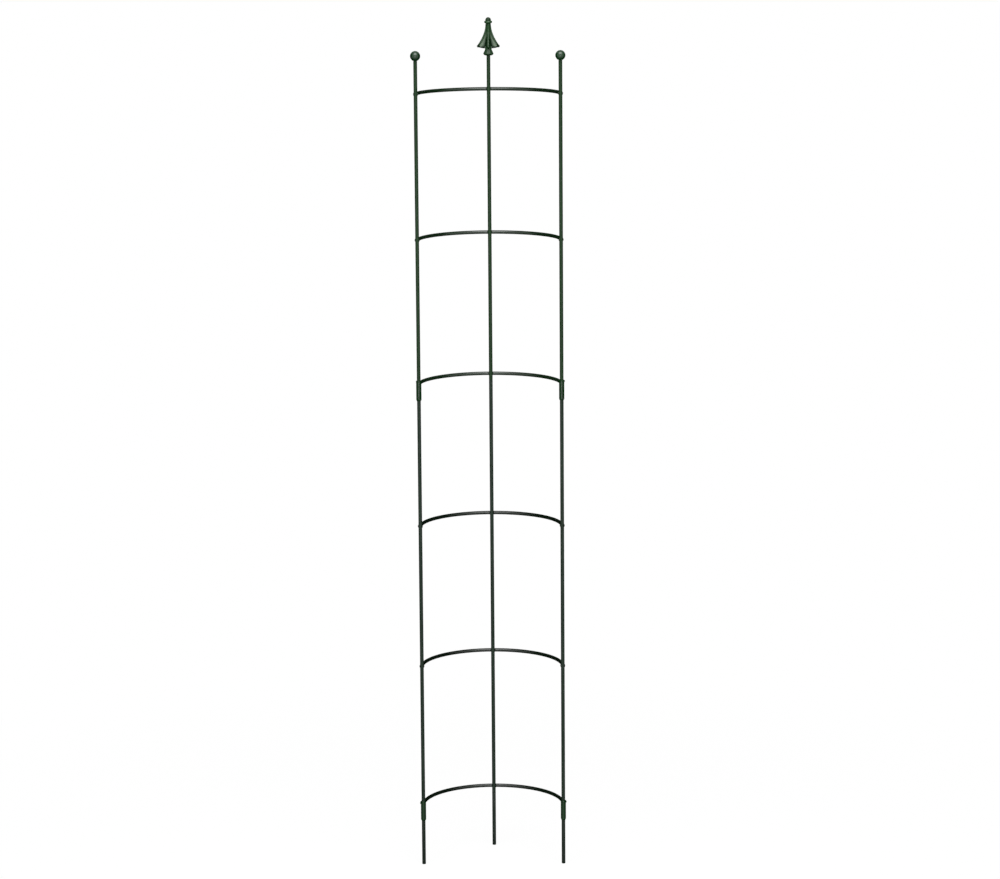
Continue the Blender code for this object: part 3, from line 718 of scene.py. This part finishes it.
def spear_core():
    """The spear's core: dome, ring, waisted stem, neck and bell collar over its blind socket.

    The bell's radius is 7.6 + 3.5 f^1.1 mm at share f of its fall, and its lip is a part of an ellipse. The
    stem is fluted between the wings: its radius is that of the profile plus SPEAR_FLUTE g(h) |cos 2a|^3, and
    g(h) rises over the neck and falls off towards the throat.
    """
    fall = np.linspace(0.0, 1.0, 14)
    bell = np.stack([7.6 + 3.5 * fall ** 1.1, 13.4 - 8.0 * fall], axis=1) * MM
    lip = np.array([4.8 * MM, 4.9 * MM]) + arc((0.0, 0.0), 1.0, 6, -88, 14) * (6.5 * MM, 4.6 * MM)
    profile = np.vstack([
        arc((0.0, SPEAR_TOP - SPEAR_DOME), SPEAR_DOME, 90, -18, 18),
        arc(SPEAR_RING_AT, SPEAR_RING, 62, -66, 16),
        [(5.8 * MM, 71.0 * MM), (5.0 * MM, SPEAR_THROAT), (4.3 * MM, 58.0 * MM), (3.9 * MM, 45.0 * MM)],
        [(3.9 * MM, 33.0 * MM), (4.3 * MM, 24.0 * MM), (5.6 * MM, 18.5 * MM), (7.2 * MM, 15.0 * MM)],
        bell,
        lip,
        [(SLEEVE_BORE_R, 0.3 * MM), (SLEEVE_BORE_R, SPEAR_SOCKET), (0.0, SPEAR_SOCKET)],
    ])
    profile[0, 0] = 0.0

    def flutes(angle, height):
        over_neck = np.clip((height - 18 * MM) / (8 * MM), 0.0, 1.0)
        under_throat = np.clip((62 * MM - height) / (36 * MM), 0.0, 1.0)
        fullness = over_neck * under_throat
        return SPEAR_FLUTE * fullness * np.abs(np.cos(2 * angle)) ** 3

    return lathe(profile, SPEAR_BASE, sides=CAST_ROUND, swell=flutes)


def wing_web(turn):
    """The thin web of a wing: a flat plate from the axis to the rims, its two faces a web's width apart.

    Row s runs out from (root, z(s)) to the rim's centre line at share s, bending up as v^1.5, and its ring
    goes out on one face and back on the other.
    """
    root, below_throat = 1 * MM, 1 * MM
    s = np.linspace(0.0, 1.0, 24)[:, None]
    reach, height, _ = flare(s)
    v = np.linspace(0.0, 1.0, 14)[None, :]
    inner = SPEAR_THROAT - below_throat + (SPEAR_UNDER - SPEAR_THROAT + below_throat) * s
    x = root + (reach - root) * v
    z = inner + (height - inner) * v ** 1.5
    face = np.stack([x, np.full_like(x, SPEAR_WEB_HALF), z], axis=-1)
    ring = np.concatenate([face, face[:, ::-1] * (1.0, -1.0, 1.0)], axis=1)
    start, end = ring[0].mean(axis=0), ring[-1].mean(axis=0)
    return turned_skin(skin(ring, 0.0, start, end), turn)


def wing_rims(turn):
    """A wing's round rims, down its outer edge and along its underside, and the bulb where they meet.

    The lower rim runs straight from the root to the tip, less sag sin(pi s).
    """
    root_reach, sag, lower_rim = 3.85 * MM, 0.9 * MM, SPEAR_RIM_TIP * 0.92
    s = np.linspace(0.0, 1.0, 40)
    reach, height, rim = flare(s)
    outer = np.stack([reach, 0 * s, height], axis=-1)
    tip = outer[-1]
    root = np.array([root_reach, 0.0, SPEAR_UNDER])
    under = root + (tip - root) * s[:, None] + np.sin(np.pi * s[:, None]) * np.array([0.0, 0.0, -sag])
    bulb_axis = np.linspace(-1.0, 1.0, 19)[1:-1]
    bulb = tip + bulb_axis[:, None] * np.array([0.0, 0.0, SPEAR_BULB])
    skins = [
        carried(outer, rim, (0.0, 1.0, 0.0)),
        carried(under, np.full(len(s), lower_rim), (0.0, 1.0, 0.0)),
        carried(bulb, SPEAR_BULB * np.sqrt(1 - bulb_axis ** 2), (0.0, 1.0, 0.0)),
    ]
    return [turned_skin(one, turn) for one in skins]


def spear_painted_light(points):
    """The spear's painted light: below 0 where painted shade darkens the paint, and above 0 where a painted
    highlight lightens it.

    Painted shade lies in the hollows by a wing's root, on the flanks of its rims and tip, on its underside, on
    the dome and on the collar's foot. The webs carry a painted highlight. With h the height above the base and
    R(h) the reach of the flare, a web's highlight grows outwards from 0.14 R by the throat and from 0.36 R by
    the tip, and the more so the lower it is.
    The crests of the rims carry a little painted shade.
    """
    x, y, h = (points - SPEAR_BASE).T
    out, across = np.maximum(np.abs(x), np.abs(y)), np.minimum(np.abs(x), np.abs(y))
    share = np.clip((SPEAR_THROAT - h) / (SPEAR_THROAT - SPEAR_TIP), 0.0, 1.0)
    reach, _, rim = flare(share)
    in_wing = smooth(h, 19.0 * MM, 21.0 * MM) * smooth(-h, -66.0 * MM, -56.0 * MM)
    crest = smooth(out, reach - 0.5 * rim, reach + 0.3 * rim) * smooth(-across, -2.3 * MM, -1.3 * MM)

    # Painted shade in the hollows by a wing's root
    by_root = smooth(-out, -0.5 * reach, -0.36 * reach) * smooth(-across, -3.4 * MM, -2.0 * MM)
    hollow = in_wing * smooth(share, 0.52, 0.76) * by_root
    # Painted shade on the flanks of the rims, under the wings and round the tips
    flank = smooth(across, 0.3 * rim, 0.65 * rim)
    on_rim = in_wing * smooth(share, 0.3, 1.0) * smooth(out, reach - 0.9 * rim, reach - 0.1 * rim) * flank
    under_wing = smooth(-h, -(SPEAR_UNDER + 3.6 * MM), -(SPEAR_UNDER + 1.2 * MM))
    beneath = smooth(h, 13.5 * MM, 15.0 * MM) * under_wing * smooth(out, 6.5 * MM, 9.0 * MM)
    beneath = beneath * (1.0 - 0.9 * crest * smooth(out, SPEAR_TIP_REACH - 2.0 * MM, SPEAR_TIP_REACH))
    from_tip = np.hypot(out - SPEAR_TIP_REACH, h - SPEAR_TIP)
    tip = smooth(-from_tip, -5.0 * MM, -3.2 * MM) * smooth(across, 1.2 * MM, 2.2 * MM)
    # Painted shade on the dome and on the collar's foot
    crown = smooth(h, 76.5 * MM, 78.0 * MM)
    foot = smooth(-h, -6.0 * MM, -3.0 * MM)
    dark = np.clip(0.75 * on_rim + beneath + tip, 0.0, 1.0)

    # Painted highlight on the webs, taken off the rims' crests, which get a little painted shade
    low = smooth(share, 0.5, 0.75)
    rise = 0.35 * smooth(share, 0.2, 0.45) + 0.6 * smooth(share, 0.45, 1.05)
    outwards = smooth(out, (0.14 + 0.22 * low) * reach, (0.5 + 0.3 * low) * reach)
    pale = in_wing * rise * outwards * (1.0 - dark)
    pale = pale * (1.0 - 0.8 * crest) - 0.42 * crest * in_wing * smooth(share, 0.2, 0.4)
    return np.clip(pale - hollow - dark - 0.6 * crown - 0.6 * foot, -1.0, 1.0)


# Materials, with colours linear

def shade(red, green, blue):
    """A linear colour from three levels of a screen's 255."""
    return tuple(((level / 255 + 0.055) / 1.055) ** 2.4 for level in (red, green, blue)) + (1.0,)


SECTION_PAINT = {
    "upper": paint("upper_section_paint", shade(29, 49, 29), shade(24, 43, 24), shade(80, 98, 79), shine=0.22),
    "lower": paint("lower_section_paint", shade(32, 43, 35), shade(26, 37, 29), shade(82, 94, 82), shine=0.2),
}
# The upper hoops' paint is lighter than the lower hoops': its greener hue is the upper section's own, and the
# rest of the difference is painted light for the brighter top
SECTION_HOOP_PAINT = {
    "upper": paint("upper_hoop_paint", shade(17, 33, 18), shade(14, 28, 15), shade(62, 84, 63),
                   shine=1.0, coat_roughness=0.27, edge_on=0.7, face_on=0.86),
    "lower": paint("lower_hoop_paint", shade(12, 21, 13), shade(9, 17, 10), shade(54, 66, 55),
                   shine=0.9, coat_roughness=0.28, edge_on=0.74, face_on=0.92),
}
sleeve_paint = paint("sleeve_paint", shade(11, 42, 16), shade(9, 36, 13), shade(86, 114, 88),
                     shine=0.8, coat_roughness=0.2, edge_on=0.78)
stake_paint = paint("stake_paint", shade(26, 34, 28), shade(21, 29, 23), shade(76, 84, 76), shine=0.13)
ball_paint = paint("ball_paint", shade(14, 44, 20), shade(11, 36, 16), shade(88, 120, 88),
                   shine=1.0, edge_on=0.7, face_on=0.9, cast_skin=0.25)
# The spear's pale worn colour serves for worn edges and also for the painted highlight on its webs
spear_paint = paint("spear_paint", shade(28, 62, 29), shade(22, 52, 24), shade(118, 134, 114),
                    shine=0.75, coat_roughness=0.32, cast_skin=0.25)
spigot_steel = bare_steel("spigot_steel")

# The welded sections
for section in SECTIONS:
    body = f"{section}_section"
    for upright in UPRIGHTS:
        node = f"{section}_{upright}_upright"
        put(make_object(f"{node}_tube", [tube(node)]), body, "upright", SECTION_PAINT[section], node)
    for number in range(1, HOOPS_PER_SECTION + 1):
        node = f"{section}_hoop_{number}"
        height = middle(node)[0][2]
        seat = SLEEVE_R if number == 1 else UPRIGHT_R
        seed = 10 * number + (100 if section == "upper" else 0)
        welds = [end_weld(height, seat, side, seed + side) for side in SIDES.values()]
        skins = [hoop_bar(height, seat), *welds, cross_weld(height, seed)]
        put(welded(f"{node}_bar", skins), body, "hoop", SECTION_HOOP_PAINT[section], node)

# The welds on the sleeves, in millimetres: how far the rim's bead leans, its radius, then the radius and the
# length of the lump, and how far that lies below the rim
SLEEVE_WELDS = {
    ("lower", "left"): (0.5, 1.0, 2.0, 5.6, 2.4),
    ("lower", "right"): (0.6, 1.0, 1.95, 5.4, 0.9),
    ("upper", "left"): (0.9, 0.8, 0.7, 3.0, 1.2),
    ("upper", "right"): (0.5, 1.0, 1.8, 4.8, 0.2),
}
for (section, side_name), sizes in SLEEVE_WELDS.items():
    node = f"{section}_{side_name}_sleeve"
    side = SIDES[side_name]
    axis = SIDE_AXES[side_name]
    bottom = middle(node)[1][2]
    top = bottom + SLEEVE_LENGTH
    seed = len(node) + side
    slant, bead, *lump, drop = (size * MM for size in sizes)
    skins = [
        sleeve_tube(bottom, axis),
        rim_weld(top, axis, side, slant, bead, seed),
        weld_lump(top, axis, side, lump, drop, seed),
    ]
    put(welded(f"{node}_tube", skins), f"{section}_section", "sleeve", sleeve_paint, node)

# The stakes, the pin and the finials
for name in UPRIGHTS:
    node = f"{name}_ground_stake"
    bar = make_object(f"{node}_bar", [stake(node, spigot=name == "centre")])
    put(bar, f"{name}_stake", "stake", stake_paint, node)
joint_pin = make_object("centre_joint_pin", [pin("centre_joint_spigot")])
put(joint_pin, "upper_section", "spigot", spigot_steel, "centre_joint_spigot")
for side_name in SIDES:
    node = f"{side_name}_ball_finial"
    put(make_object(f"{node}_casting", [ball(node)]), "upper_section", "finial", ball_paint, node)
spear = [spear_core()]
for quarter in range(4):
    spear += [wing_web(quarter), *wing_rims(quarter)]
put(cast("spear_finial_casting", spear, spear_painted_light), "upper_section", "finial", spear_paint, "spear_finial")


# Floor, light and camera

WHITE = (1.0, 1.0, 1.0, 1.0)
FLOOR_GREY = 0.88
FLOOR_DROP = 0.0002
FLOOR_THICKNESS = 0.02
AMBIENT = 0.18


def seen_directly(finish):
    """1 for rays from the camera and for those that a gloss or a glass sends on, 0 for the light that falls."""
    path = finish.node("ShaderNodeLightPath")
    seen, gloss, clear = (Number(finish, path.outputs[name]) for name in
                          ("Is Camera Ray", "Is Glossy Ray", "Is Transmission Ray"))
    return finish.sum_of("MINIMUM", seen + gloss + clear, 1.0)


def make_floor():
    """A pale floor that looks as white as what is behind it, and keeps a faint shadow near the object."""
    rings = np.array([0.02, 0.5, 1.0, 2.0, 4.0, 8.0])[:, None]
    angle = np.linspace(0.0, 2 * np.pi, 64, endpoint=False)[None, :]
    top = np.stack([rings * np.cos(angle), rings * np.sin(angle), 0.0 * rings * angle - FLOOR_DROP], axis=-1)
    bottom = top[::-1] - (0.0, 0.0, FLOOR_THICKNESS)
    tips = (0, 0, -FLOOR_DROP), (0, 0, -FLOOR_DROP - FLOOR_THICKNESS)
    obj = make_object("floor", [skin(np.concatenate([top, bottom]), 0.0, *tips)])
    material, finish, shader, place = surface("pale_floor")
    shader.inputs["Base Color"].default_value = (FLOOR_GREY, FLOOR_GREY, FLOOR_GREY, 1.0)
    shader.inputs["Roughness"].default_value = 0.9
    shader.inputs["Specular IOR Level"].default_value = 0.0
    distance = finish.node("ShaderNodeVectorMath", {"operation": "LENGTH"}, {0: place}).outputs["Value"]
    far = finish.between(Number(finish, distance), 0.5, 1.8)
    white = finish.node("ShaderNodeEmission", {}, {"Color": WHITE, "Strength": 1.0})
    share = seen_directly(finish) * (far * 0.06 + 0.94)
    mixed = finish.node("ShaderNodeMixShader", {}, {0: share, 1: shader.outputs[0], 2: white.outputs[0]})
    finish.feed(material.node_tree.nodes["Material Output"].inputs["Surface"], mixed.outputs[0])
    obj.data.materials.append(material)


def make_world():
    """White where it is looked at, and a plain dim light on the object."""
    world = bpy.data.worlds.new("studio")
    world.use_nodes = True
    bpy.context.scene.world = world
    finish = Finish(world.node_tree)
    dim = world.node_tree.nodes["Background"]
    dim.inputs["Color"].default_value = WHITE
    dim.inputs["Strength"].default_value = AMBIENT
    white = finish.node("ShaderNodeBackground", {}, {"Color": WHITE, "Strength": 1.0})
    share = seen_directly(finish)
    mixed = finish.node("ShaderNodeMixShader", {}, {0: share, 1: dim.outputs[0], 2: white.outputs[0]})
    finish.feed(world.node_tree.nodes["World Output"].inputs["Surface"], mixed.outputs[0])


def add_to_scene(name, data, place, axes):
    """A lamp or camera at a place, its x, y and z axes given as rows."""
    obj = bpy.data.objects.new(name, data)
    bpy.context.scene.collection.objects.link(obj)
    turned = Matrix([[*row] for row in np.stack(axes, axis=1)]).to_4x4()
    obj.matrix_world = Matrix.Translation(place) @ turned
    return obj


def make_lamp(name, place, target, size, power):
    """A soft rectangular lamp that faces a point."""
    light = bpy.data.lights.new(name, "AREA")
    light.shape = "RECTANGLE"
    light.size, light.size_y = size
    light.energy = power
    z = unit(np.asarray(place, float) - np.asarray(target, float))
    x = unit(np.cross((0.0, 0.0, 1.0), z))
    add_to_scene(name, light, place, [x, np.cross(z, x), z])


def make_camera():
    """The photograph's camera: 7.6 m in front, a little above, and tilted down."""
    place = (0.0752336, -7.557807, 2.271889)
    pitch, yaw, roll = 0.1715547, -0.0072765, 0.0071355
    forward = np.array([math.sin(yaw) * math.cos(pitch), math.cos(yaw) * math.cos(pitch), -math.sin(pitch)])
    right = np.array([math.cos(yaw), -math.sin(yaw), 0.0])
    down = np.cross(forward, right)
    x = math.cos(roll) * right + math.sin(roll) * down
    y = math.sin(roll) * right - math.cos(roll) * down
    camera = bpy.data.cameras.new("camera")
    camera.sensor_width = 36.0
    camera.lens = 122.967
    camera.clip_end = 100.0
    bpy.context.scene.camera = add_to_scene("camera", camera, place, [x, y, -forward])


make_floor()
make_world()
make_lamp("key", place=(0.0, -5.6, 0.95), target=(0.0, 0.0, 1.0), size=(0.7, 1.8), power=75.0)
make_lamp("softbox", place=(0.0, -2.9, 6.2), target=(0.0, 0.0, 1.2), size=(5.5, 5.0), power=610.0)
make_camera()
bpy.context.scene.view_settings.view_transform = "Standard"
